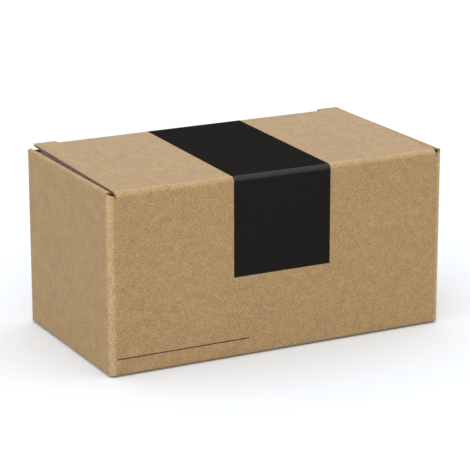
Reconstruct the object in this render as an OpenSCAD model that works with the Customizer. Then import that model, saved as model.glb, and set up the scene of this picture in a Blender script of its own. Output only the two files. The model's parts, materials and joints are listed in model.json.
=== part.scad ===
// Tuck-top carton of thin kraft corrugated board, made from one die-cut blank.
// Origin: bottom centre of the closed carton. Front at -Y, rear at +Y, +Z up. Millimetres.
// The tube is front, left, right and rear wall, joined by a glued flap at the rear right corner.
// The lid is hinged along the top of the front wall and tucks in behind the rear wall.
// The bottom is a snap-lock of four flaps, the rear one's tongue slipped through the front one.

/* [Carton] */
// Width, left to right, outside
carton_w = 240; // [220:1:260]
// Depth, front to rear, outside
carton_d = 130; // [124:1:140]
// Height at the front top fold, outside
carton_h = 118; // [110:1:130]
// Thickness of the corrugated board
board_t = 1.6; // [1.4:0.1:1.8]

/* [Folds] */
// Outer radius of the four upright folds, which run along the flutes and turn wide
upright_fold_r = 4.8; // [4.2:0.1:5]
// Outer radius of the fold between front wall and lid, across the flutes
lid_fold_r = 3; // [2.6:0.1:3.4]
// Outer radius of the side walls' top folds
dust_fold_r = 2; // [1.8:0.1:2.1]
// Outer radius of the fold between lid and tuck flap
tuck_fold_r = 2.6; // [2.4:0.1:2.8]
// Outer radius of the bottom folds
base_fold_r = 1.8; // [1.8:0.1:2]
// Flat board counted with a fold on each side of its curve
fold_margin = 1; // [0.8:0.1:1.2]
// Height of the corner openings at the front top, down from the lid's top
corner_hole_h = 2.1; // [2:0.1:2.6]

/* [Lid] */
// Gap between the lid's raw side edges and the side walls' outer faces
lid_inset = 5.5; // [5.4:0.1:5.8]
// Lift of the closed lid towards the rear, in degrees
lid_tilt = 1.1; // [0.8:0.1:1.4]
// Length of the slits that part the tuck flap's corners from the lid
slit_len = 16; // [14:0.5:20]
// Length of the tuck flap, down from its fold
tuck_len = 25; // [20:1:28]
// Inward lean of the tuck flap, from square to the lid, in degrees
tuck_lean = 11; // [10:0.5:12]
// Radius of the tuck flap's lower corners
tuck_corner_r = 12; // [8:1:14]
// Clearance between the tuck fold and the rear wall
tuck_clearance = 0.3; // [0.3:0.1:0.6]

/* [Dust flaps] */
// Length of the dust flaps, in from the side walls
dust_len = 62; // [50:1:66]
// Cut-back of the dust flaps' front edges, per length, which clears the turning lid
dust_taper = 0.57; // [0.57:0.01:0.62]
// Gap between dust flaps and lid at the front fold
dust_gap = 0.2; // [0.2:0.1:0.5]
// Height of the side walls' top folds over the dust flaps, beside the lid's raw edges
crest_rise = 2.1; // [1.8:0.1:2.1]
// Slope by which the dust flaps drop from those folds to pass under the lid, in degrees
dust_dip = 35; // [34:1:38]
// Reach of those folds' curves over the upright folds, towards the corner openings
crest_tip = 1.6; // [1:0.2:2]

/* [Bottom] */
// Slope of the bottom flaps where they climb over each other, in degrees
climb = 8; // [7:0.5:9]
// Gap between one layer of the bottom and the next
layer_gap = 0.1; // [0.1:0.05:0.2]
// Reach of the front bottom flap
front_flap_len = 80; // [76:1:84]
// Reach of the side bottom flaps
side_flap_len = 68; // [60:1:70]
// Reach of the rear bottom flap's shoulders
rear_flap_len = 80; // [76:1:82]
// Width of the tongue that locks the bottom
tongue_w = 80; // [70:1:84]

/* [Seam] */
// Width of the glued flap
glue_flap_w = 28; // [24:1:32]
// Thickness of the adhesive
adhesive_t = 0.1; // [0.1:0.05:0.2]

/* [Print] */
// Width of the printed band
band_w = 69.2; // [60:0.1:80]
// Set-off of the band's middle to the right
band_shift = 0.9; // [-2:0.1:2]
// Height of the band's lower edge on the front
band_foot = 52.6; // [45:0.1:60]
// Run of the band down the tuck flap
band_bleed = 12; // [8:1:14]
// Height of the printed rule
rule_z = 11; // [8:0.5:14]
// Thickness of the printed rule
rule_h = 0.55; // [0.4:0.05:0.8]
// Length of the printed rule
rule_len = 92.5; // [80:0.5:100]
// Thickness of the ink
ink_t = 0.1; // [0.1:0.05:0.2]

/* [Hidden] */
$fn = 48;
kraft = "#b9996a";
kraft_fold = "#c2a374";
kraft_inside = "#ab8b5e";
ink = "#232221";
paste = "#e8e2d0";
half_w = carton_w / 2;
half_d = carton_d / 2;
front_y = -half_d;
// The rear wall's raw top edge and the dust flaps' top faces are level.
rim_z = carton_h - board_t - dust_gap;
crest_z = rim_z + crest_rise;
lid_half = half_w - lid_inset;
lid_fold_y = front_y + lid_fold_r;
lid_fold_z = carton_h - lid_fold_r;
// Lengths along the tilted lid, from the centre line of its front fold
tuck_u = (half_d - board_t - tuck_clearance - tuck_fold_r - lid_fold_y) / cos(lid_tilt);
ear_u = (half_d - lid_fold_y) / cos(lid_tilt);
fold_half = lid_half - slit_len;
// The walls run between the bottom folds and the top folds, and between the upright folds.
wall_foot = base_fold_r + fold_margin;
side_wall_top = crest_z - dust_fold_r - fold_margin;
front_wall_top = lid_fold_z - fold_margin;
// The upright folds' margins stop here, and the walls above them reach the curves themselves.
margin_top = front_wall_top - 0.8;
upright_x = half_w - upright_fold_r;
upright_y = half_d - upright_fold_r;
wall_half_w = upright_x - fold_margin;
wall_half_d = upright_y - fold_margin;
corner_top = carton_h - corner_hole_h;
corner_foot = 0.6;
fold_end_gap = 0.4;
// Keeps rounding from sinking the dust flaps into their folds
hairline = 0.002;
glue_y = half_d - board_t - adhesive_t;
// The fold behind the right wall turns in one board early, under the rear wall.
glue_fold_y = glue_y - upright_fold_r;
layer = board_t + layer_gap;
tongue_rise_start = 52;
tongue_rise_end = 72;
tongue_end = 96;
tongue_slot = 4;
slot_half = tongue_w / 2 + 6;
band_x0 = band_shift - band_w / 2;
band_x1 = band_shift + band_w / 2;

// ---- shared shapes ----

// Ring sector between two radii and two angles, up to half a turn
module sector(r_in, r_out, a0, a1) {
    reach = 2 * r_out;
    steps = 4;
    intersection() {
        difference() {
            circle(r_out);
            circle(r_in);
        }
        polygon(concat([[0, 0]],
            [for (i = [0:steps]) let (a = a0 + (a1 - a0) * i / steps) reach * [cos(a), sin(a)]]));
    }
}

// A moving fold, seen along its crease: flat margin, arc of the given turn, flat margin.
// The arc's centre is the origin, and the first leg lies level, towards -X.
// Each leg brings more than half of the arc, so that the two run into each other.
module fold_profile(r, turn, t = board_t) {
    fold_leg(r, 0.6 * turn, t);
    rotate(-turn) mirror([1, 0]) fold_leg(r, 0.6 * turn, t);
}

module fold_leg(r, turn, t) {
    translate([-fold_margin, r - t]) square([fold_margin, t]);
    sector(r - t, r, 90 - turn, 90);
}

// Extrudes a profile drawn in (Y, Z) along X
module along_x(x0, x1) {
    translate([x0, 0, 0]) rotate([90, 0, 90]) linear_extrude(x1 - x0) children();
}

// Extrudes a profile drawn in (X, Z) along Y
module along_y(y0, y1) {
    translate([0, y1, 0]) rotate([90, 0, 0]) linear_extrude(y1 - y0) children();
}

// The closed lid's own frame: origin in the fold's centre line, +Y along the lid, +Z out of it
module in_lid() {
    translate([0, lid_fold_y, lid_fold_z]) rotate([lid_tilt, 0, 0]) children();
}

// The tuck flap's own frame: +Y down along the flap, +Z out of its outer face
module in_tuck() {
    in_lid() translate([0, tuck_u, lid_fold_r - tuck_fold_r]) rotate([-90 - tuck_lean, 0, 0])
        children();
}

// ---- tube ----

// A wall panel's outline between two upright folds, whose curves begin at x0 and x1
module wall_outline(x0, x1, top) {
    polygon([[x0 + fold_margin, wall_foot], [x1 - fold_margin, wall_foot],
             [x1 - fold_margin, margin_top], [x1, margin_top], [x1, top],
             [x0, top], [x0, margin_top], [x0 + fold_margin, margin_top]]);
}

module front_wall() {
    color(kraft) translate([0, front_y + board_t, 0]) rotate([90, 0, 0])
        linear_extrude(board_t) wall_outline(-upright_x, upright_x, front_wall_top);
}

module left_wall() {
    color(kraft) along_x(-half_w, -half_w + board_t)
        wall_outline(-upright_y, upright_y, side_wall_top);
}

module right_wall() {
    color(kraft) along_x(half_w - board_t, half_w)
        wall_outline(-upright_y, glue_fold_y, side_wall_top);
}

// Its raw upright edge at the right is lapped over the glued flap.
module rear_wall() {
    raw_edge_x = half_w - 2.2;
    color(kraft) translate([0, half_d, 0]) rotate([90, 0, 0]) linear_extrude(board_t) union() {
        wall_outline(-upright_x, upright_x, rim_z);
        translate([0, wall_foot]) square([raw_edge_x, rim_z - wall_foot]);
    }
}

// An upright fold in the rear right corner's attitude, its curve about the origin.
// The curve reaches down past the bottom folds and up to the corner opening; the margins
// stop short of the walls' own folds.
module upright_fold() {
    translate([0, 0, wall_foot]) linear_extrude(margin_top - wall_foot)
        fold_profile(upright_fold_r, 90);
    translate([0, 0, corner_foot]) linear_extrude(corner_top - corner_foot)
        sector(upright_fold_r - board_t, upright_fold_r, 0, 90);
}

module front_left_fold() {
    color(kraft_fold) translate([-upright_x, -upright_y, 0]) rotate([0, 0, 180]) upright_fold();
}

module front_right_fold() {
    color(kraft_fold) translate([upright_x, -upright_y, 0]) rotate([0, 0, -90]) upright_fold();
}

module rear_left_fold() {
    color(kraft_fold) translate([-upright_x, upright_y, 0]) rotate([0, 0, 90]) upright_fold();
}

module rear_right_fold() {
    color(kraft_fold) translate([upright_x, glue_fold_y, 0]) upright_fold();
}

// Its ends are bevelled to clear the bottom and the tuck flap.
module glue_flap() {
    end_bevel = 8;
    foot = 8;
    head = carton_h - 12;
    inner_x = upright_x - glue_flap_w;
    color(kraft_inside) along_y(glue_y - board_t, glue_y) polygon([
        [wall_half_w, foot], [wall_half_w, head],
        [inner_x, head - end_bevel], [inner_x, foot + end_bevel]]);
}

module seam_adhesive() {
    edge = 3;
    color(paste) translate([upright_x - glue_flap_w + edge, glue_y, 24])
        cube([glue_flap_w - 2 * edge, adhesive_t, carton_h - 48]);
}

// ---- snap-lock bottom ----

// A bottom flap, seen along its fold: h inwards from the wall's outer face, z up.
// It climbs to the given layer and ends at reach.
module base_profile(level, reach) {
    slope = level == 0 ? 0 : climb;
    level_z = level * layer;
    start = [base_fold_r * (1 + sin(slope)), base_fold_r * (1 - cos(slope))];
    inner = [base_fold_r + (base_fold_r - board_t) * sin(slope),
             base_fold_r - (base_fold_r - board_t) * cos(slope)];
    flat_h = level == 0 ? start[0] : start[0] + (level_z - start[1]) / tan(slope);
    translate([0, base_fold_r]) square([board_t, fold_margin]);
    translate([base_fold_r, base_fold_r])
        sector(base_fold_r - board_t, base_fold_r, 180, 270 + slope);
    polygon([start, [flat_h, level_z], [reach, level_z], [reach, level_z + board_t],
             [flat_h - board_t * tan(slope / 2), level_z + board_t], inner]);
}

// Innermost: its free edge has the slot that takes the tongue
module front_bottom_flap() {
    prong = 42;
    slot_end = front_flap_len - 24;
    color(kraft_inside) intersection() {
        along_x(-wall_half_w, wall_half_w) translate([front_y, 0]) base_profile(2, front_flap_len);
        translate([0, front_y, -1]) linear_extrude(4 * layer + 2) polygon([
            [-wall_half_w, 0], [wall_half_w, 0], [wall_half_w, 2], [wall_half_w - 12.5, 14.5],
            [wall_half_w - 12.5, slot_end], [slot_half + prong, front_flap_len],
            [slot_half, front_flap_len], [slot_half, slot_end],
            [-slot_half, slot_end], [-slot_half, front_flap_len],
            [-slot_half - prong, front_flap_len], [-wall_half_w + 12.5, slot_end],
            [-wall_half_w + 12.5, 14.5], [-wall_half_w, 2]]);
    }
}

// Middle layer, the left one; it ends short of the two upright folds beside it
module side_bottom_flap(rear_end) {
    color(kraft_inside) intersection() {
        along_y(-half_d, half_d) translate([-half_w, 0]) base_profile(1, side_flap_len);
        translate([-half_w, 0, -1]) linear_extrude(4 * layer + 2) polygon([
            [0, -wall_half_d], [2, -wall_half_d], [13.5, 15 - half_d], [15.5, 28 - half_d],
            [side_flap_len, 34 - half_d], [side_flap_len, half_d - 32], [15.5, half_d - 17],
            [13.5, half_d - 15], [2, rear_end], [0, rear_end]]);
    }
}

module left_bottom_flap() {
    side_bottom_flap(wall_half_d);
}

module right_bottom_flap() {
    mirror([1, 0, 0]) side_bottom_flap(glue_fold_y - fold_margin);
}

// Outermost, flat on what the carton stands on; its tongue climbs through the slot
module rear_bottom_flap() {
    tongue_z = 3 * layer;
    rise = atan(tongue_z / (tongue_rise_end - tongue_rise_start));
    back = board_t * tan(rise / 2);
    half_tongue = tongue_w / 2;
    shoulder = wall_half_w - 16;
    color(kraft_inside) mirror([0, 1, 0]) {
        intersection() {
            along_x(-wall_half_w, wall_half_w) translate([front_y, 0]) base_profile(0, rear_flap_len);
            translate([0, front_y, -1]) linear_extrude(layer + 2) difference() {
                polygon([[-wall_half_w, 0], [wall_half_w, 0], [wall_half_w, 2],
                         [wall_half_w - 12.5, 14.5], [shoulder, rear_flap_len],
                         [-shoulder, rear_flap_len], [-wall_half_w + 12.5, 14.5], [-wall_half_w, 2]]);
                translate([-half_tongue - tongue_slot, tongue_rise_start])
                    square([tongue_w + 2 * tongue_slot, rear_flap_len]);
            }
        }
        along_x(-half_tongue, half_tongue) translate([front_y, 0]) polygon([
            [tongue_rise_start, 0], [tongue_rise_end, tongue_z], [tongue_end, tongue_z],
            [tongue_end, tongue_z + board_t], [tongue_rise_end - back, tongue_z + board_t],
            [tongue_rise_start - back, board_t], [tongue_rise_start - back, 0]]);
    }
}

// ---- lid and tuck flap ----

// Rolled fold between front wall and lid
module lid_fold() {
    color(kraft_fold) in_lid() along_x(-lid_half, lid_half)
        mirror([1, 0]) fold_profile(lid_fold_r, 90 - lid_tilt);
}

// Its rear corners end raw at the slits and stand proud of the tuck fold.
module lid_panel() {
    color(kraft) in_lid() translate([0, 0, lid_fold_r - board_t]) linear_extrude(board_t)
        polygon([[-lid_half, fold_margin], [lid_half, fold_margin], [lid_half, ear_u],
                 [fold_half, ear_u], [fold_half, tuck_u - fold_margin],
                 [-fold_half, tuck_u - fold_margin], [-fold_half, ear_u], [-lid_half, ear_u]]);
}

module tuck_fold() {
    color(kraft_fold) in_lid() along_x(-fold_half + 0.3, fold_half - 0.3)
        translate([tuck_u, lid_fold_r - tuck_fold_r])
            fold_profile(tuck_fold_r, 90 + tuck_lean);
}

module tuck_flap() {
    half = lid_half - 1;
    side_draft = 3;
    tip_half = half - side_draft;
    shoulder = 1.8;
    color(kraft) in_tuck() translate([0, 0, tuck_fold_r - board_t]) linear_extrude(board_t)
        difference() {
            union() {
                polygon([[-half, fold_margin], [half, fold_margin],
                         [tip_half, tuck_len - tuck_corner_r],
                         [-tip_half, tuck_len - tuck_corner_r]]);
                translate([-tip_half + tuck_corner_r, fold_margin])
                    square([2 * (tip_half - tuck_corner_r), tuck_len - fold_margin]);
                for (x = [-1, 1])
                    translate([x * (tip_half - tuck_corner_r), tuck_len - tuck_corner_r])
                        circle(tuck_corner_r);
            }
            // Its shoulders are cut back below the slits, to pass under the lid's raw ends.
            for (x = [-1, 1])
                translate([x * (fold_half + half / 2), 0]) square([half, 2 * shoulder], center = true);
        }
}

// ---- dust flaps ----

// Left fold, between the two upright folds; rear_end is where the curve behind it begins.
// Its own curve runs on over both of them, towards the corner openings.
module dust_fold(rear_end) {
    color(kraft_fold) {
        along_y(-upright_y + fold_end_gap, rear_end - fold_end_gap) in_dust_fold()
            fold_profile(dust_fold_r, 90 + dust_dip);
        along_y(-upright_y - crest_tip, rear_end + crest_tip) in_dust_fold()
            sector(dust_fold_r - board_t, dust_fold_r, -dust_dip, 90);
    }
}

// The fold's own frame: the wall is its level leg, and the curve turns on towards the lid
module in_dust_fold() {
    translate([-half_w + dust_fold_r, crest_z - dust_fold_r]) rotate(90) children();
}

module left_dust_fold() {
    dust_fold(upright_y);
}

module right_dust_fold() {
    mirror([1, 0, 0]) dust_fold(glue_fold_y);
}

// A dust flap seen along its fold: s in from the wall's outer face, z up from the flap's top.
// It drops from the fold's margin and then lies level under the lid.
module dust_profile() {
    margin = fold_margin + hairline;
    start = dust_fold_r * [1 + sin(dust_dip), cos(dust_dip)] + [0, crest_rise - dust_fold_r]
        + margin * [cos(dust_dip), -sin(dust_dip)];
    bend_s = start[0] + start[1] / tan(dust_dip);
    polygon([start, [bend_s, 0], [dust_len, 0], [dust_len, -board_t],
             [bend_s - board_t * tan(dust_dip / 2), -board_t],
             start - board_t * [sin(dust_dip), cos(dust_dip)]]);
}

// Outline in plan: s in from the wall's outer face, y back from the carton's front.
// The shoulder next to the wall reaches further back than the rest, into the lid's slit.
module dust_outline() {
    tip_r = 8;
    front_cut = 3.6;
    shoulder_y = carton_d - 7.4;
    recess_y = carton_d - 9;
    tip_y = carton_d - 13;
    shoulder_s = 15.5;
    tip_front = front_cut + dust_taper * dust_len;
    polygon([[0, front_cut],
             [dust_len - tip_r, tip_front - dust_taper * tip_r],
             [dust_len - 0.28 * tip_r, tip_front + 0.2 * tip_r],
             [dust_len, tip_front + 0.8 * tip_r],
             [dust_len, tip_y - tip_r],
             [dust_len - 0.29 * tip_r, tip_y - 0.29 * tip_r],
             [dust_len - tip_r, tip_y],
             [shoulder_s + 3, recess_y],
             [shoulder_s, shoulder_y],
             [0, shoulder_y]]);
}

module left_dust_flap() {
    color(kraft_inside) intersection() {
        along_y(front_y, half_d) translate([-half_w, rim_z]) dust_profile();
        translate([-half_w, front_y, rim_z - layer]) linear_extrude(2 * layer) dust_outline();
    }
}

module right_dust_flap() {
    mirror([1, 0, 0]) left_dust_flap();
}

// ---- print ----

module front_band() {
    color(ink) translate([band_x0, front_y - ink_t, band_foot])
        cube([band_w, ink_t, front_wall_top - band_foot]);
}

module lid_fold_band() {
    color(ink) in_lid() along_x(band_x0, band_x1)
        mirror([1, 0]) fold_profile(lid_fold_r + ink_t, 90 - lid_tilt, ink_t);
}

module lid_band() {
    color(ink) in_lid() translate([band_x0, fold_margin, lid_fold_r])
        cube([band_w, tuck_u - 2 * fold_margin, ink_t]);
}

module tuck_fold_band() {
    color(ink) in_lid() along_x(band_x0, band_x1)
        translate([tuck_u, lid_fold_r - tuck_fold_r])
            fold_profile(tuck_fold_r + ink_t, 90 + tuck_lean, ink_t);
}

module tuck_band() {
    color(ink) in_tuck() translate([band_x0, fold_margin, tuck_fold_r])
        cube([band_w, band_bleed - fold_margin, ink_t]);
}

module front_rule() {
    color(ink) translate([-upright_x, front_y - ink_t, rule_z - rule_h / 2])
        cube([rule_len, ink_t, rule_h]);
}

front_wall();
left_wall();
right_wall();
rear_wall();
glue_flap();
seam_adhesive();
front_left_fold();
front_right_fold();
rear_left_fold();
rear_right_fold();
front_bottom_flap();
left_bottom_flap();
right_bottom_flap();
rear_bottom_flap();
lid_fold();
left_dust_fold();
right_dust_fold();
lid_panel();
tuck_fold();
tuck_flap();
left_dust_flap();
right_dust_flap();
front_band();
lid_fold_band();
lid_band();
tuck_fold_band();
tuck_band();
front_rule();
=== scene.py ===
import json
import math

import bmesh
import bpy
from mathutils import Matrix, Vector


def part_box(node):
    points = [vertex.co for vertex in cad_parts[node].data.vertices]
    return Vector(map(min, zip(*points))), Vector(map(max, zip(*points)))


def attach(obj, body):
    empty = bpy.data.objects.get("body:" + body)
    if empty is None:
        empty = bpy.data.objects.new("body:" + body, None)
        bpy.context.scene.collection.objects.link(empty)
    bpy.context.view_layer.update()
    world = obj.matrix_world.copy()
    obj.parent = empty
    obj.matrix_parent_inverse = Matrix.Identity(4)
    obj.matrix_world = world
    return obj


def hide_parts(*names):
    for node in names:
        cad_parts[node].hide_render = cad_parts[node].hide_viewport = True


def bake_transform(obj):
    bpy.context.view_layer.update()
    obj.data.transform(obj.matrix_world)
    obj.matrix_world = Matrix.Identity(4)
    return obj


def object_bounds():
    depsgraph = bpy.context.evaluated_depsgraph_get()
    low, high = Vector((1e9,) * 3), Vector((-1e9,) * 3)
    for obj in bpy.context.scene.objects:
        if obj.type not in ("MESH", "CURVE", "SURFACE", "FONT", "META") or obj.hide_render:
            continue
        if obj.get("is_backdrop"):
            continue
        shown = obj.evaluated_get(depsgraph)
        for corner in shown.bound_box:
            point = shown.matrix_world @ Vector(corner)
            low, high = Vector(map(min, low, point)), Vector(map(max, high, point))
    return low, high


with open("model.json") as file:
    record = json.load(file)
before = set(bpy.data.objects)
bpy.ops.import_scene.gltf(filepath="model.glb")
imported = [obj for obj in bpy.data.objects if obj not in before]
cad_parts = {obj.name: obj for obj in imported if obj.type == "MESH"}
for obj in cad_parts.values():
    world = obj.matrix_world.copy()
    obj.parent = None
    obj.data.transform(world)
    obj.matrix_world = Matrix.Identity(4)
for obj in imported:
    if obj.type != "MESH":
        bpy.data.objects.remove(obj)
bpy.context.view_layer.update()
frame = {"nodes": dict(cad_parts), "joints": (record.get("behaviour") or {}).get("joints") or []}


# ---- Kraft paper ----
# The carton is cut from unbleached kraft board. The outer liner is smooth and light, the inner liner a little
# darker, and the fluted sheet between them darker still. Fibres, shives and faint ribs show on every face.

mm = 0.001
flute_pitch = 3.3 * mm
rib_wave = 2 * math.pi / flute_pitch
rib_height = 0.012 * mm
outer_liner = (0.446, 0.293, 0.138)
inner_liner = (0.385, 0.248, 0.114)
fluting = (0.27, 0.165, 0.075)
# Pale kraft for the creases: rubbed paper, and also a painted highlight over the bends
worn_and_highlit_kraft = (0.62, 0.43, 0.225)
shive_brown = (0.12, 0.07, 0.035)
paper_roughness = 0.75
paper_specular = 0.35
paper_fuzz = 0.55
fuzz_roughness = 0.25

# A scale is how fine the spots of one kind are, in cells to a metre. Their contrast is how far they change
# the paper's shade, and their relief how far they raise it.
fibre_scale = 2600.0
fibre_contrast = 0.7
fibre_relief = 0.03 * mm
fibre_squeeze = 0.82
fleck_scale = 1150.0
fleck_contrast = 1.35
fleck_relief = 0.03 * mm
cloud_scale = 170.0
cloud_contrast = 0.4
cloud_relief = 0.12 * mm
patch_scale = 26.0
patch_contrast = 0.1
shive_scale = 150.0
shive_radius = 0.045
shive_share = 0.1
shive_strength = 0.6
# How the creases' pale patches vary: rubbed paper and a painted highlight together
wear_and_highlight_scale = 420.0
wear_and_highlight_contrast = 1.1
least_wear_and_highlight = 0.35


def feed(tree, socket, value):
    """Links a socket to another one, or sets it to a number, a vector or a colour"""
    if isinstance(value, bpy.types.NodeSocket):
        tree.links.new(value, socket)
    else:
        socket.default_value = (*value, 1) if socket.type == "RGBA" else value


def math_node(tree, operation, *values):
    """A Math node; each value is a number or a socket"""
    node = tree.nodes.new("ShaderNodeMath")
    node.operation = operation
    for socket, value in zip(node.inputs, values):
        feed(tree, socket, value)
    return node.outputs[0]


def vector_node(tree, operation, first, second):
    """A Vector Math node; each value is a vector or a socket"""
    node = tree.nodes.new("ShaderNodeVectorMath")
    node.operation = operation
    for socket, value in zip(node.inputs, (first, second)):
        feed(tree, socket, value)
    return node.outputs["Value" if operation == "DOT_PRODUCT" else "Vector"]


def mixed(tree, factor, first, second):
    """Mixes two colours, each a socket or a colour"""
    node = tree.nodes.new("ShaderNodeMix")
    node.data_type = "RGBA"
    feed(tree, node.inputs["Factor"], factor)
    feed(tree, node.inputs[6], first)
    feed(tree, node.inputs[7], second)
    return node.outputs[2]


def noise(tree, vector, scale, detail=2.0, roughness=0.5):
    """A noise pattern, about 0.5 on average"""
    node = tree.nodes.new("ShaderNodeTexNoise")
    tree.links.new(vector, node.inputs["Vector"])
    node.inputs["Scale"].default_value = scale
    node.inputs["Detail"].default_value = detail
    node.inputs["Roughness"].default_value = roughness
    return node.outputs["Fac"]


def crease_wear_and_highlight(tree):
    """The crease attribute of a bent sheet, high where it is rubbed pale and where the paper gets a painted
    highlight over the bend
    """
    node = tree.nodes.new("ShaderNodeAttribute")
    node.attribute_name = "crease"
    return node.outputs["Fac"]


def raised(tree, principled, height, strength=1.0, distance=1.0):
    """Bumps a material's surface by a height, in metres where the distance is 1"""
    bump = tree.nodes.new("ShaderNodeBump")
    bump.inputs["Strength"].default_value = strength
    bump.inputs["Distance"].default_value = distance
    tree.links.new(height, bump.inputs["Height"])
    tree.links.new(bump.outputs["Normal"], principled.inputs["Normal"])


def node_group(name, inputs, outputs):
    """An empty shader group with float or vector inputs and outputs"""
    group = bpy.data.node_groups.new(name, "ShaderNodeTree")
    for way, sockets in (("INPUT", inputs), ("OUTPUT", outputs)):
        for socket, kind in sockets.items():
            group.interface.new_socket(socket, in_out=way, socket_type=kind)
    return group, group.nodes.new("NodeGroupInput"), group.nodes.new("NodeGroupOutput")


def paper_group():
    """Shade is 1 on average, Shive marks rare dark fibres, and Height is in metres"""
    group, given, result = node_group(
        "Kraft fibres",
        {"Point": "NodeSocketVector", "Across": "NodeSocketVector"},
        {"Shade": "NodeSocketFloat", "Shive": "NodeSocketFloat", "Height": "NodeSocketFloat"})
    point = given.outputs["Point"]
    across = given.outputs["Across"]
    # Fibres lie across the flutes, so their pattern is drawn out that way.
    squeezed = vector_node(group, "MULTIPLY", across, (-fibre_squeeze,) * 3)
    squeeze = vector_node(group, "ADD", squeezed, (1.0, 1.0, 1.0))
    drawn_out = vector_node(group, "MULTIPLY", point, squeeze)
    fibres = noise(group, drawn_out, fibre_scale, detail=3.0, roughness=0.6)
    flecks = noise(group, point, fleck_scale, roughness=0.55)
    clouds = noise(group, point, cloud_scale, detail=3.0)
    patches = noise(group, point, patch_scale)
    shade = 1.0
    for spots, contrast in ((fibres, fibre_contrast), (flecks, fleck_contrast),
                            (clouds, cloud_contrast), (patches, patch_contrast)):
        change = math_node(group, "MULTIPLY_ADD", spots, contrast, -contrast / 2)
        shade = math_node(group, "ADD", change, shade)
    group.links.new(shade, result.inputs["Shade"])

    cells = group.nodes.new("ShaderNodeTexVoronoi")
    cells.inputs["Scale"].default_value = shive_scale
    group.links.new(drawn_out, cells.inputs["Vector"])
    near = math_node(group, "LESS_THAN", cells.outputs["Distance"], shive_radius)
    picked = group.nodes.new("ShaderNodeSeparateColor")
    group.links.new(cells.outputs["Color"], picked.inputs[0])
    rare = math_node(group, "GREATER_THAN", picked.outputs[0], 1 - shive_share)
    group.links.new(math_node(group, "MULTIPLY", near, rare), result.inputs["Shive"])

    place = vector_node(group, "DOT_PRODUCT", point, across)
    ribs = math_node(group, "SINE", math_node(group, "MULTIPLY", place, rib_wave))
    height = math_node(group, "MULTIPLY", ribs, rib_height)
    for spots, relief in ((fibres, fibre_relief), (flecks, fleck_relief), (clouds, cloud_relief)):
        height = math_node(group, "MULTIPLY_ADD", spots, relief, height)
    group.links.new(height, result.inputs["Height"])
    return group


paper = paper_group()


def new_material(name, colour, roughness, specular, fuzz=0.0):
    """A material with its Principled node, the plain values set, and the Object coordinates"""
    material = bpy.data.materials.new(name)
    material.use_nodes = True
    material.diffuse_color = (*colour, 1)
    tree = material.node_tree
    principled = tree.nodes["Principled BSDF"]
    principled.inputs["Base Color"].default_value = (*colour, 1)
    principled.inputs["Roughness"].default_value = roughness
    principled.inputs["Specular IOR Level"].default_value = specular
    principled.inputs["Sheen Weight"].default_value = fuzz
    principled.inputs["Sheen Roughness"].default_value = fuzz_roughness
    coordinates = tree.nodes.new("ShaderNodeTexCoord")
    return material, tree, principled, coordinates.outputs["Object"]


def paper_fibres(tree, point, across):
    """The paper's pattern in one material, with its flutes repeated along `across`"""
    fibres = tree.nodes.new("ShaderNodeGroup")
    fibres.node_tree = paper
    tree.links.new(point, fibres.inputs["Point"])
    fibres.inputs["Across"].default_value = across
    return fibres.outputs


def kraft(name, colour, across, creased=False):
    """Kraft paper. A creased one is lighter where the crease attribute is high: rubbed pale, and a painted
    highlight over the bend.
    """
    material, tree, principled, point = new_material(name, colour, paper_roughness, paper_specular,
                                                     paper_fuzz)
    fibres = paper_fibres(tree, point, across)
    plain = colour
    if creased:
        # Creases are mixed towards the pale kraft: rubbed paper and a painted highlight over the bend
        patches = noise(tree, point, wear_and_highlight_scale, detail=3.0)
        patchy = math_node(tree, "MULTIPLY_ADD", patches, wear_and_highlight_contrast, least_wear_and_highlight)
        plain = mixed(tree, math_node(tree, "MULTIPLY", crease_wear_and_highlight(tree), patchy), colour, worn_and_highlit_kraft)
    grain = tree.nodes.new("ShaderNodeVectorMath")
    grain.operation = "SCALE"
    feed(tree, grain.inputs[0], plain)
    feed(tree, grain.inputs["Scale"], fibres["Shade"])
    shive = math_node(tree, "MULTIPLY", fibres["Shive"], shive_strength)
    toned = mixed(tree, shive, grain.outputs["Vector"], shive_brown)
    tree.links.new(toned, principled.inputs["Base Color"])
    raised(tree, principled, fibres["Height"])
    return material


side_to_side = (1.0, 0.0, 0.0)
front_to_rear = (0.0, 1.0, 0.0)
fluted_sheet = kraft("Fluted sheet", fluting, side_to_side)
long_plies = [kraft("Kraft liner, long panels", outer_liner, side_to_side),
              kraft("Kraft lining, long panels", inner_liner, side_to_side), fluted_sheet]
side_plies = [kraft("Kraft liner, side panels", outer_liner, front_to_rear),
              kraft("Kraft lining, side panels", inner_liner, front_to_rear), fluted_sheet]
crease_plies = [kraft("Kraft liner, creased", outer_liner, side_to_side, creased=True),
                kraft("Kraft lining, creased", inner_liner, side_to_side, creased=True), fluted_sheet]
outer_ply, inner_ply, core_ply = range(3)


# ---- Walls ----
# Four flat walls and the flap that closes the tube. Each is single-wall board: two liners glued to a fluted
# sheet. The flutes run up the walls, so their waves show at the rear wall's raw top edge.

board_t = 1.6 * mm
liner_t = 0.22 * mm
fluting_t = 0.18 * mm
wave_steps = 8
cutting_allowance = 4 * mm
weld_gap = 0.001 * mm
flat_within = math.radians(1)
sharp_from = math.radians(45)
least_facing = 0.75
up = Vector((0, 0, 1))
rearward = Vector((0, 1, 0))
rightward = Vector((1, 0, 0))


def placed(name, data):
    """A new object in the scene"""
    new = bpy.data.objects.new(name, data)
    bpy.context.scene.collection.objects.link(new)
    return new


def new_piece(name, bm, materials):
    """An object from a bmesh, smooth but for its sharp edges"""
    mesh = bpy.data.meshes.new(name)
    bm.to_mesh(mesh)
    bm.free()
    for material in materials:
        mesh.materials.append(material)
    mesh.shade_smooth()
    mesh.set_sharp_from_angle(angle=sharp_from)
    return placed(name, mesh)


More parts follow.
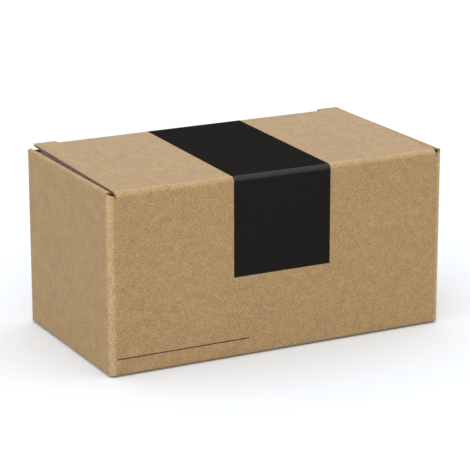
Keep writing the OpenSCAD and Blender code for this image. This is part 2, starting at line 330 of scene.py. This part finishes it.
def split(bm, point, direction, clear_behind=False):
    """Cuts a bmesh along a plane"""
    bmesh.ops.bisect_plane(bm, geom=bm.verts[:] + bm.edges[:] + bm.faces[:], dist=weld_gap,
                           plane_co=point, plane_no=direction, clear_inner=clear_behind)


def shift(bm, geometry, step):
    """Moves the points among some geometry"""
    points = [item for item in geometry if isinstance(item, bmesh.types.BMVert)]
    bmesh.ops.translate(bm, verts=points, vec=step)


def cad_copy(node, start=None):
    """A node's mesh with its triangles merged into plain faces, kept only beyond the start plane"""
    bm = bmesh.new()
    bm.from_mesh(frame["nodes"][node].data)
    bmesh.ops.remove_doubles(bm, verts=bm.verts, dist=weld_gap)
    bmesh.ops.dissolve_limit(bm, angle_limit=flat_within, verts=bm.verts, edges=bm.edges)
    if start:
        split(bm, *start, clear_behind=True)
        bmesh.ops.holes_fill(bm, edges=[edge for edge in bm.edges if edge.is_boundary])
    return bm


def cut_to(bm, solid):
    """Keeps what of a bmesh lies inside a solid"""
    sheet = new_piece("sheet", bm, [])
    outline = new_piece("outline", solid, [])
    cut = sheet.modifiers.new("cut", "BOOLEAN")
    cut.operation = "INTERSECT"
    cut.solver = "EXACT"
    cut.object = outline
    depsgraph = bpy.context.evaluated_depsgraph_get()
    kept = bpy.data.meshes.new_from_object(sheet.evaluated_get(depsgraph))
    result = bmesh.new()
    result.from_mesh(kept)
    bpy.data.meshes.remove(kept)
    for scrap in (sheet, outline):
        bpy.data.meshes.remove(scrap.data)
    return result


def poured(target, source, ply):
    """Adds one bmesh to another, with its faces in the given ply's material"""
    for face in source.faces:
        face.material_index = ply
    mesh = bpy.data.meshes.new("ply")
    source.to_mesh(mesh)
    source.free()
    target.from_mesh(mesh)
    bpy.data.meshes.remove(mesh)


def liner(node, outward, start=None):
    """The liner on one side of a board: the solid's faces on that side, given the liner's thickness"""
    bm = cad_copy(node, start)
    other = [face for face in bm.faces if face.normal.dot(outward) < least_facing]
    bmesh.ops.delete(bm, geom=other, context="FACES")
    grown = bmesh.ops.extrude_face_region(bm, geom=bm.faces[:])["geom"]
    shift(bm, grown, -outward * liner_t)
    bmesh.ops.recalc_face_normals(bm, faces=bm.faces)
    return bm


def span(reach, direction):
    """How far a box of the given size reaches along a direction"""
    return sum(abs(reach[i] * direction[i]) for i in range(3))


def flutes(node, outward, along, start=None, rise=None, bends=()):
    """The fluted sheet between the liners, cut to the board's outline.
    Where the board climbs, rise lifts it, and the bends are the points where its slope changes."""
    low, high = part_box(node)
    centre = (low + high) / 2
    across = along.cross(outward)
    phase = centre.dot(across)
    length = span(high - low, along) + cutting_allowance
    waves = math.ceil(span(high - low, across) / flute_pitch) + 2
    wave_height = board_t / 2 - liner_t - fluting_t / 2
    bm = bmesh.new()
    bmesh.ops.create_grid(bm, x_segments=waves * wave_steps, y_segments=1, size=0.5)
    for vert in bm.verts:
        sideways = vert.co.x * waves * flute_pitch
        lift = wave_height * math.sin((sideways + phase) * rib_wave)
        vert.co = (sideways, vert.co.y * length, lift)
    bm.normal_update()
    bmesh.ops.solidify(bm, geom=bm.faces[:], thickness=fluting_t)
    if rise:
        centre.z = low.z + board_t / 2
    turn = Matrix((across, along, outward)).transposed().to_4x4()
    bmesh.ops.transform(bm, matrix=Matrix.Translation(centre) @ turn, verts=bm.verts)
    for bend in bends:
        split(bm, bend, along)
    if rise:
        for vert in bm.verts:
            vert.co.z += rise(vert.co)
    bmesh.ops.recalc_face_normals(bm, faces=bm.faces)
    return cut_to(bm, cad_copy(node, start))


def board(node, outward, along, plies, body, start=None, rise=None, bends=(), folds=()):
    """A panel of corrugated board in the place of its CAD node, with the plies of any fold that it ends in"""
    bm = bmesh.new()
    poured(bm, liner(node, outward, start), outer_ply)
    poured(bm, liner(node, -outward, start), inner_ply)
    poured(bm, flutes(node, outward, along, start, rise, bends), core_ply)
    for ply, sheet in folds:
        poured(bm, sheet, ply)
    piece = new_piece(node + "_board", bm, plies)
    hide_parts(node)
    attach(piece, body)


board("front_wall", -rearward, up, long_plies, "carton")
board("rear_wall", rearward, up, long_plies, "carton")
board("left_wall", -rightward, up, side_plies, "carton")
board("right_wall", rightward, up, side_plies, "carton")
board("glue_flap", rearward, up, long_plies, "carton")


# ---- Upright folds ----
# The creases that turn the flat blank into a tube. They run along the flutes, so the board turns wide and
# soft there, and the liner is rubbed pale over the bend, with a painted highlight there as well. Their upper
# tips climb towards the side walls.

upright_fold_r = 4.8 * mm
fold_margin = 1 * mm
fold_steps = 16
end_wear_and_highlight_power = 4
margin_drop = 0.8 * mm
corner_climb = 1.7 * mm
tip_depth = 0.1 * mm
match_decimals = 7
front_low, front_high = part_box("front_wall")
margin_top = front_high.z - margin_drop
margin_foot = front_low.z


def turned_sheet(outer_r, thickness, turn, length, tips=(0, 0), wear_and_highlight=(1, 0)):
    """A sheet bent round the X axis: flat, curve, flat. The first flat lies level on top and comes from -Y.
    The curve runs on past the flats by the tips. The wear is how pale the curve's middle and the last flat
    are: rubbed, and lightened by a painted highlight."""
    bm = bmesh.new()
    ends = [bm.verts.new((-length / 2, -fold_margin, z)) for z in (outer_r - thickness, outer_r)]
    raw_edge = [bm.edges.new(ends), *ends]

    def stretch(geometry, step):
        """Extrudes the edge among some geometry and returns the new edge with its ends"""
        edges = [item for item in geometry if isinstance(item, bmesh.types.BMEdge)]
        new = bmesh.ops.extrude_edge_only(bm, edges=edges)["geom"]
        new = [item for item in new if not isinstance(item, bmesh.types.BMFace)]
        shift(bm, new, step)
        return [item for item in new if isinstance(item, bmesh.types.BMVert) or
                all(end in new for end in item.verts)]

    curve_start = stretch(raw_edge, (0, fold_margin, 0))
    curve_end = bmesh.ops.spin(bm, geom=curve_start, cent=(0, 0, 0), axis=(1, 0, 0), angle=-turn,
                               steps=fold_steps, use_merge=False, use_normal_flip=False,
                               use_duplicate=False)["geom_last"]
    stretch(curve_end, (0, fold_margin * math.cos(turn), -fold_margin * math.sin(turn)))
    bm.faces.ensure_lookup_table()
    section = bm.faces[:]
    curve = section[1:-1]
    middle_wear_and_highlight, end_wear_and_highlight = wear_and_highlight
    # The crease value paints the bend's highlight as well as its rubbing
    crease = bm.verts.layers.float.new("crease")
    for vert in bm.verts:
        share = min(max(math.atan2(vert.co.y, vert.co.z) / turn, 0), 1)
        vert[crease] = middle_wear_and_highlight * math.sin(math.pi * share) + end_wear_and_highlight * share ** end_wear_and_highlight_power

    def grow(faces, distance):
        """Extrudes faces along the crease and returns the new ends"""
        grown = bmesh.ops.extrude_face_region(bm, geom=faces)["geom"]
        shift(bm, grown, (distance, 0, 0))
        return [item for item in grown if isinstance(item, bmesh.types.BMFace)]

    def across_crease(face):
        """Where a face lies across the crease, rounded so that the faces of both ends match"""
        return tuple(round(part, match_decimals) for part in face.calc_center_median()[1:])

    far_ends = {across_crease(face): face for face in grow(section, length)}
    if tips[1]:
        grow([far_ends[across_crease(face)] for face in curve], tips[1])
    if tips[0]:
        grow(curve, -tips[0])
    bmesh.ops.recalc_face_normals(bm, faces=bm.faces)
    return bm


def fold_plies(outer_r, turn, length, tips=(0, 0), wear_and_highlight=(1, 0)):
    """Outer liner, crushed fluting and inner liner of a fold, as (ply, bmesh, outer radius)"""
    core_r = outer_r - liner_t
    core_t = board_t - 2 * liner_t
    inner_r = core_r - core_t
    layers = ((outer_ply, outer_r, liner_t), (core_ply, core_r, core_t), (inner_ply, inner_r, liner_t))
    return [(ply, turned_sheet(r, t, turn, length, tips, wear_and_highlight), r) for ply, r, t in layers]


def attitude(forward, outward, centre):
    """Places a turned sheet: its first flat runs forward with outward as its outer side"""
    turn = Matrix((forward.cross(outward), forward, outward)).transposed().to_4x4()
    return Matrix.Translation(centre) @ turn


def upright_fold(node, forward, outward):
    """A fold of the tube as one piece, with its upper tip raised towards the side wall's top fold"""
    low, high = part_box(node)
    corner_x = low.x if "left" in node else high.x
    corner_y = low.y if "front" in node else high.y
    centre = Vector((corner_x, corner_y, 0)) - (forward + outward) * upright_fold_r
    centre.z = (margin_top + margin_foot) / 2
    length = margin_top - margin_foot
    # The sheet's X axis points down here, so the first tip is the upper one.
    tips = (high.z - margin_top, margin_foot - low.z)
    top = centre.z + length / 2 + tips[0]
    bm = bmesh.new()
    for ply, sheet, _ in fold_plies(upright_fold_r, math.pi / 2, length, tips):
        bmesh.ops.transform(sheet, matrix=attitude(forward, outward, centre), verts=sheet.verts)
        for vert in sheet.verts:
            if vert.co.z > top - tip_depth:
                vert.co.z += corner_climb * ((abs(vert.co.x) - abs(centre.x)) / upright_fold_r) ** 2
        poured(bm, sheet, ply)
    piece = new_piece(node + "_board", bm, crease_plies)
    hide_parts(node)
    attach(piece, "carton")


upright_fold("front_left_fold", -rearward, -rightward)
upright_fold("front_right_fold", rightward, -rearward)
upright_fold("rear_right_fold", rearward, rightward)
upright_fold("rear_left_fold", -rightward, rearward)


# ---- Lid, tuck flap and their folds ----
# The lid is hinged by the rolled fold along the top of the front wall. At its rear a second fold turns down
# into the tuck flap, between two slits that leave the lid's corners raw and flat.

lid_tilt = math.radians(1.1)
lid_fold_r = 3 * mm
tuck_fold_r = 2.6 * mm
tuck_turn = math.radians(101)
# How pale the lid's two folds are, on the curve and on the last flat: rubbed, and a painted highlight
top_wear_and_highlight = (0.35, 0.75)
lid_along = Vector((0, math.cos(lid_tilt), math.sin(lid_tilt)))
lid_out = Vector((0, -math.sin(lid_tilt), math.cos(lid_tilt)))
tuck_along = Matrix.Rotation(-tuck_turn, 3, "X") @ lid_along
tuck_out = Matrix.Rotation(-tuck_turn, 3, "X") @ lid_out
joints = {joint["name"]: joint for joint in frame["joints"]}

board("lid_panel", lid_out, lid_along, long_plies, "lid")
board("tuck_flap", tuck_out, tuck_along, long_plies, "tuck")


def moving_sheet(name, node, sheet, forward, outward, centre, materials):
    """A sheet over a crease that moves, built in place over its curve"""
    place = attitude(forward, outward, centre)
    bmesh.ops.transform(sheet, matrix=place, verts=sheet.verts)
    piece = new_piece(name, sheet, materials)
    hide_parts(node)
    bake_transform(piece)


def moving_fold(node, outer_r, turn, forward, outward, centre, length, wear_and_highlight, tips=(0, 0)):
    """A fold across a joint, with its three plies as separate pieces"""
    for ply, sheet, r in fold_plies(outer_r, turn, length, tips, wear_and_highlight):
        name = node + ("_liner", "_lining", "_fluting")[ply]
        for face in sheet.faces:
            face.material_index = ply
        moving_sheet(name, node, sheet, forward, outward, centre, crease_plies)


lid_low, lid_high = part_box("lid_fold")
lid_fold_turn = math.pi / 2 - lid_tilt
lid_fold_centre = Vector((0, lid_low.y + lid_fold_r, lid_high.z - lid_fold_r))
moving_fold("lid_fold", lid_fold_r, lid_fold_turn, up, -rearward, lid_fold_centre,
            lid_high.x - lid_low.x, top_wear_and_highlight)

tuck_low, tuck_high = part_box("tuck_fold")
tuck_fold_centre = Vector(joints["tuck_hinge"]["pos_m"])
moving_fold("tuck_fold", tuck_fold_r, tuck_turn, lid_along, lid_out, tuck_fold_centre,
            tuck_high.x - tuck_low.x, top_wear_and_highlight)


# ---- Dust flaps ----
# Two flaps turned in from the side walls' top folds. The folds stand up beside the lid's raw edges, and the
# flaps dip from there to pass under it. Their shoulders at the rear sit in the lid's slits.

dust_fold_r = 2 * mm
dust_dip = math.radians(35)
crest_tip = 1.6 * mm
fold_end_gap = 0.4 * mm
end_reach = crest_tip + fold_end_gap
# How pale the dust folds are: rubbed, and a painted highlight
dust_wear_and_highlight = (0.25, 0.1)


def dipping(fold_end, inward, drop):
    """How far a dust flap lies over its level part next to the fold, and the point where it levels out"""
    reach = board_t * math.sin(dust_dip) + drop / math.tan(dust_dip) - board_t / 2 * math.tan(dust_dip / 2)
    level_start = fold_end + inward * reach

    def rise(point):
        return max(0, (level_start - point).dot(inward) * math.tan(dust_dip))
    return rise, (level_start,)


for side, outward in (("left", -rightward), ("right", rightward)):
    low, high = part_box(side + "_dust_fold")
    flap_low, flap_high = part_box(side + "_dust_flap")
    wall_x = low.x if side == "left" else high.x
    centre = Vector((wall_x, (low.y + high.y) / 2, high.z - dust_fold_r)) - outward * dust_fold_r
    moving_fold(side + "_dust_fold", dust_fold_r, math.pi / 2 + dust_dip, up, outward, centre,
                high.y - low.y - 2 * end_reach, dust_wear_and_highlight, (end_reach, end_reach))
    fold_end = Vector((flap_low.x if side == "left" else flap_high.x, 0, flap_high.z))
    rise, bends = dipping(fold_end, -outward, flap_high.z - flap_low.z - board_t)
    board(side + "_dust_flap", up, -outward, side_plies, side + "_dust", rise=rise, bends=bends)


# ---- Snap-lock bottom ----
# Four flaps folded in and laid over each other: the rear one lies flat on the table, the side ones over it,
# and the slotted front one on top takes the rear one's tongue. Their folds reach to the upright folds.

base_fold_r = 1.8 * mm
climb = math.radians(8)
layer = 1.7 * mm
tongue_start = 52 * mm
tongue_end = 72 * mm
tongue_half = 42 * mm
tongue_level = 3


def climbing(wall, inward, level):
    """How far a flap lies over the table, by the distance from its wall, and where its slope changes"""
    slope_start = base_fold_r * (1 + math.sin(climb))
    slope_end = slope_start + level * layer / math.tan(climb)

    def rise(point):
        run = (point - wall).dot(inward)
        return max(0, min((run - slope_start) * math.tan(climb), level * layer))
    return rise, (wall + inward * slope_start, wall + inward * slope_end)


def tongue(wall, inward):
    """The rear flap lies flat, and its tongue climbs through the slot"""
    def rise(point):
        share = ((point - wall).dot(inward) - tongue_start) / (tongue_end - tongue_start)
        return tongue_level * layer * max(0, min(share, 1)) if abs(point.x) < tongue_half else 0
    return rise, (wall + inward * tongue_start, wall + inward * tongue_end)


for node, outward, level, plies in (("front_bottom_flap", -rearward, 2, long_plies),
                                    ("left_bottom_flap", -rightward, 1, side_plies),
                                    ("right_bottom_flap", rightward, 1, side_plies),
                                    ("rear_bottom_flap", rearward, 0, long_plies)):
    low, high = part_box(node)
    inward = -outward
    wall = Vector([high[i] if outward[i] > 0 else low[i] for i in range(3)])
    curve_centre = Vector((wall.x, wall.y, base_fold_r)) + inward * base_fold_r
    middle = (low + high) / 2
    along_fold = outward.cross(up)
    fold_centre = curve_centre + along_fold * (middle - curve_centre).dot(along_fold)
    wall_low, wall_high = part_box(node.replace("bottom_flap", "wall"))
    fold_length = abs((wall_high - wall_low).dot(along_fold)) + 2 * fold_margin
    slope = climb if level else 0
    folds = []
    for ply, sheet, _ in fold_plies(base_fold_r, math.pi / 2 + slope, fold_length):
        bmesh.ops.transform(sheet, matrix=attitude(-up, outward, fold_centre), verts=sheet.verts)
        folds.append((ply, sheet))
    start = (curve_centre, inward * math.cos(slope) + up * math.sin(slope))
    rise, bends = climbing(wall, inward, level) if level else tongue(wall, inward)
    board(node, -up, inward, plies, "carton", start, rise, bends, folds)


# ---- Seam ----
# A strip of white adhesive holds the glued flap to the inside of the rear wall. It is rolled on wet and dries
# dull, with small lumps.

paste_white = (0.72, 0.67, 0.55)
lump_scale = 400.0
lump_height = 0.1 * mm


def dress(node, material):
    """Gives a CAD node that is shown as it is its material"""
    mesh = frame["nodes"][node].data
    mesh.materials.clear()
    mesh.materials.append(material)


paste, tree, principled, point = new_material("Dried adhesive", paste_white, roughness=0.6, specular=0.4)
raised(tree, principled, noise(tree, point, lump_scale, detail=3.0), distance=lump_height)
dress("seam_adhesive", paste)


# ---- Print ----
# One flexo-printed black: a wide band over front, fold and lid, and a thin rule low on the front. The ink
# takes the paper's tooth and dries matt, and the crease burnishes it to a soft shine.

ink_t = 0.1 * mm
ink_black = (0.0174, 0.0165, 0.0149)
ink_roughness = 0.62
ink_tooth = 0.6
burnish_strength = 0.85
burnish_power = 0.6
burnish_roughness = 0.4

black_ink, tree, principled, point = new_material("Black ink", ink_black, ink_roughness, specular=0.0)
raised(tree, principled, paper_fibres(tree, point, side_to_side)["Height"], strength=ink_tooth)
burnished = math_node(tree, "POWER", crease_wear_and_highlight(tree), burnish_power)
burnish = math_node(tree, "MULTIPLY", burnished, burnish_strength)
tree.links.new(burnish, principled.inputs["Coat Weight"])
principled.inputs["Coat Roughness"].default_value = burnish_roughness

for node in ("front_band", "lid_band", "tuck_band", "front_rule"):
    dress(node, black_ink)

band_low, band_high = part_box("lid_band")
band_middle = Vector(((band_low.x + band_high.x) / 2, 0, 0))
for node, r, turn, forward, outward, centre, bodies in (
        ("lid_fold_band", lid_fold_r, lid_fold_turn, up, -rearward, lid_fold_centre, ("carton", "lid")),
        ("tuck_fold_band", tuck_fold_r, tuck_turn, lid_along, lid_out, tuck_fold_centre, ("lid", "tuck"))):
    sheet = turned_sheet(r + ink_t, ink_t, turn, band_high.x - band_low.x)
    moving_sheet(node + "_ink", node, sheet, forward, outward, centre + band_middle,
                 [black_ink])


# ---- Floor, light and camera ----
# A white studio table under an even white sky, with one small soft lamp at the front left, and the camera of
# the photograph: low, long and from the front left. The table lies a little under the carton's folded edges,
# which leaves a thin dark line there.

table_drop = 0.9 * mm
table_reach = 4.0
table_lit = (0.58, 0.58, 0.58)
table_shown = (1.005, 1.045, 1.095)
lamp_place = Vector((-0.45, -0.75, 0.6))
lamp_size = 0.5
lamp_power = 1.1

floor_mesh = bpy.data.meshes.new("floor")
bm = bmesh.new()
bmesh.ops.create_grid(bm, x_segments=1, y_segments=1, size=table_reach)
bm.to_mesh(floor_mesh)
bm.free()
floor = placed("floor", floor_mesh)
floor.location.z = -table_drop
floor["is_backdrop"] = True

# The table looks white, also in reflections, but the light that it throws on the carton is a grey table's.
table_top = bpy.data.materials.new("White table")
table_top.use_nodes = True
tree = table_top.node_tree
tree.nodes.clear()
output = tree.nodes.new("ShaderNodeOutputMaterial")
lit = tree.nodes.new("ShaderNodeBsdfDiffuse")
lit.inputs["Color"].default_value = (*table_lit, 1)
shown = tree.nodes.new("ShaderNodeBsdfDiffuse")
shown.inputs["Color"].default_value = (*table_shown, 1)
both = tree.nodes.new("ShaderNodeMixShader")
path = tree.nodes.new("ShaderNodeLightPath")
seen = math_node(tree, "MAXIMUM", path.outputs["Is Camera Ray"], path.outputs["Is Glossy Ray"])
seen = math_node(tree, "MAXIMUM", seen, path.outputs["Is Transmission Ray"])
tree.links.new(seen, both.inputs[0])
tree.links.new(lit.outputs[0], both.inputs[1])
tree.links.new(shown.outputs[0], both.inputs[2])
tree.links.new(both.outputs[0], output.inputs["Surface"])
floor.data.materials.append(table_top)

world = bpy.data.worlds.new("White sky")
bpy.context.scene.world = world
world.use_nodes = True
tree = world.node_tree
tree.nodes.clear()
output = tree.nodes.new("ShaderNodeOutputWorld")
sky = tree.nodes.new("ShaderNodeBackground")
sky.inputs["Color"].default_value = (1, 1, 1, 1)
tree.links.new(sky.outputs[0], output.inputs["Surface"])

lamp_light = bpy.data.lights.new("Front left lamp", "AREA")
lamp_light.size = lamp_size
lamp_light.energy = lamp_power
lamp = placed("Front left lamp", lamp_light)
lamp.location = lamp_place
lamp.rotation_euler = lamp_place.to_track_quat("Z", "Y").to_euler()

aim = Vector((0.00240, 0.00345, 0.05806))
azimuth = math.radians(-27.362)
elevation = math.radians(16.268)
roll = math.radians(-0.093)
distance = 1.4889
focal_px = 2245.8
image_px = 470
sensor_mm = 36
nearest = 10 * mm
back = Vector((math.sin(azimuth) * math.cos(elevation), -math.cos(azimuth) * math.cos(elevation),
               math.sin(elevation)))
horizon = Vector((math.cos(azimuth), math.sin(azimuth), 0))
right = horizon * math.cos(roll) + back.cross(horizon) * math.sin(roll)
camera = bpy.data.cameras.new("Camera")
camera.sensor_width = sensor_mm
camera.lens = sensor_mm * focal_px / image_px
camera.clip_start = nearest
camera_object = placed("Camera", camera)
camera_object.matrix_world = (Matrix.Translation(aim + back * distance)
                              @ Matrix((right, back.cross(right), back)).transposed().to_4x4())
bpy.context.scene.camera = camera_object
bpy.context.scene.view_settings.view_transform = "Standard"

low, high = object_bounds()
